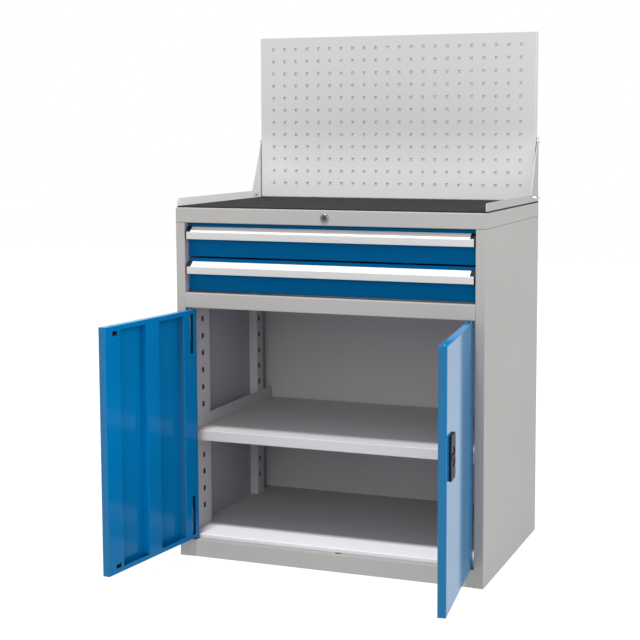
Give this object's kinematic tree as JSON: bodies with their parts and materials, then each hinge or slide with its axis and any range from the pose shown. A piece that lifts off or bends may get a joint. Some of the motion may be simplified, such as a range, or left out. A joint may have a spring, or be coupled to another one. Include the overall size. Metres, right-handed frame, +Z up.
{
  "type": "tool cabinet",
  "caption": "Steel tool cabinet with drawers over a double-door cupboard, ribbed mat on top, and a perforated tool panel standing behind.",
  "frame": {"origin": "centre of the base, on the floor", "axes": "+Z up, +X to the right seen from the front, +Y from the doors towards the back; the doors are stored open and the drawers shut"},
  "size_m": [0.9369, 1.0026, 1.504],
  "materials": {
    "body_paint": "light grey powder coat, satin",
    "panel_paint": "cooler light grey powder coat, satin",
    "front_blue": "deep blue powder coat, satin",
    "door_blue": "blue powder coat, satin",
    "lock_blue": "dark blue moulded plastic",
    "mat_rubber": "ribbed black rubber",
    "grip_metal": "satin anodised",
    "black_plastic": "fine moulded",
    "zinc": "zinc plated",
    "lock_metal": "polished"
  },
  "bodies": {
    "carcass": {"side_panel_left": "body_paint", "side_panel_right": "body_paint", "back_panel": "body_paint", "top_cap": "body_paint", "rubber_mat": "mat_rubber", "divider_rail": "body_paint", "floor_pan": "body_paint", "floor_brace": "body_paint", "plinth_front": "body_paint", "plinth_rear": "body_paint", "front_upright_left": "body_paint", "front_upright_right": "body_paint", "rear_upright_left": "body_paint", "rear_upright_right": "body_paint", "runner_bracket_left": "body_paint", "runner_bracket_right": "body_paint", "upper_cabinet_slides": "zinc", "lower_cabinet_slides": "zinc", "side_upstand_left": "panel_paint", "side_upstand_right": "panel_paint", "perforated_panel": "panel_paint", "panel_back": "panel_paint", "panel_bolts": "zinc", "shelf": "body_paint", "shelf_stiffener": "body_paint", "shelf_bar_left": "body_paint", "shelf_bar_right": "body_paint", "lock_barrel": "lock_metal", "lock_nut": "zinc"},
    "drawer_lock": {"lock_plug": "lock_metal", "lock_cam": "zinc"},
    "upper_drawer": {"upper_drawer_box": "body_paint", "upper_drawer_front": "front_blue", "upper_grip": "grip_metal", "upper_grip_caps": "black_plastic", "upper_drawer_slides": "zinc", "upper_lock_catch": "zinc"},
    "upper_mid": {"upper_mid_slides": "zinc"},
    "lower_drawer": {"lower_drawer_box": "body_paint", "lower_drawer_front": "front_blue", "lower_grip": "grip_metal", "lower_grip_caps": "black_plastic", "lower_drawer_slides": "zinc"},
    "lower_mid": {"lower_mid_slides": "zinc"},
    "left_door": {"left_door_skin": "door_blue", "left_door_stiffener": "door_blue", "left_hinge_pins": "zinc", "left_bolt_guides": "zinc"},
    "left_bolt_upper": {"left_bolt_upper": "zinc"},
    "left_bolt_lower": {"left_bolt_lower": "zinc"},
    "right_door": {"right_door_skin": "door_blue", "right_door_stiffener": "door_blue", "right_hinge_pins": "zinc", "right_rod_guides": "zinc", "right_lock_plate": "lock_blue"},
    "right_grip": {"right_lock_grip": "lock_blue", "right_lock_cam": "zinc"},
    "rod_upper": {"right_rod_upper": "zinc"},
    "rod_lower": {"right_rod_lower": "zinc"}
  },
  "joints": [
    {"name": "drawer_lock_turn", "type": "hinge", "parent": "carcass", "child": "drawer_lock", "pos_m": [0, -0.3, 0.979], "axis": [0, 1, 0], "range_deg": [0, 90]},
    {"name": "upper_drawer_slide", "type": "slide", "parent": "carcass", "child": "upper_drawer", "axis": [0, -1, 0], "range_m": [0, 0.48]},
    {"name": "upper_mid_slide", "type": "slide", "parent": "carcass", "child": "upper_mid", "axis": [0, -1, 0], "range_m": [0, 0.24]},
    {"name": "lower_drawer_slide", "type": "slide", "parent": "carcass", "child": "lower_drawer", "axis": [0, -1, 0], "range_m": [0, 0.48]},
    {"name": "lower_mid_slide", "type": "slide", "parent": "carcass", "child": "lower_mid", "axis": [0, -1, 0], "range_m": [0, 0.24]},
    {"name": "left_door_hinge", "type": "hinge", "parent": "carcass", "child": "left_door", "pos_m": [-0.4115, -0.294, 0.384], "axis": [0, 0, -1], "range_deg": [-97, 17]},
    {"name": "left_bolt_upper_slide", "type": "slide", "parent": "left_door", "child": "left_bolt_upper", "axis": [0, 0, 1], "range_m": [0, 0.008]},
    {"name": "left_bolt_lower_slide", "type": "slide", "parent": "left_door", "child": "left_bolt_lower", "axis": [0, 0, -1], "range_m": [0, 0.008]},
    {"name": "right_door_hinge", "type": "hinge", "parent": "carcass", "child": "right_door", "pos_m": [0.4115, -0.294, 0.384], "axis": [0, 0, 1], "range_deg": [-97, 17]},
    {"name": "right_grip_turn", "type": "hinge", "parent": "right_door", "child": "right_grip", "pos_m": [0.45999, -0.63967, 0.436], "axis": [-0.9925, -0.1219, 0], "range_deg": [0, 90]},
    {"name": "rod_upper_slide", "type": "slide", "parent": "right_door", "child": "rod_upper", "axis": [0, 0, 1], "range_m": [0, 0.014]},
    {"name": "rod_lower_slide", "type": "slide", "parent": "right_door", "child": "rod_lower", "axis": [0, 0, -1], "range_m": [0, 0.014]}
  ],
  "couplings": [
    {"joint": "upper_mid_slide", "follows": "upper_drawer_slide", "ratio": 0.5},
    {"joint": "lower_mid_slide", "follows": "lower_drawer_slide", "ratio": 0.5},
    {"joint": "right_grip_turn", "follows": "rod_upper_slide", "rad_per_m": 112.18},
    {"joint": "rod_lower_slide", "follows": "rod_upper_slide", "ratio": 1}
  ]
}
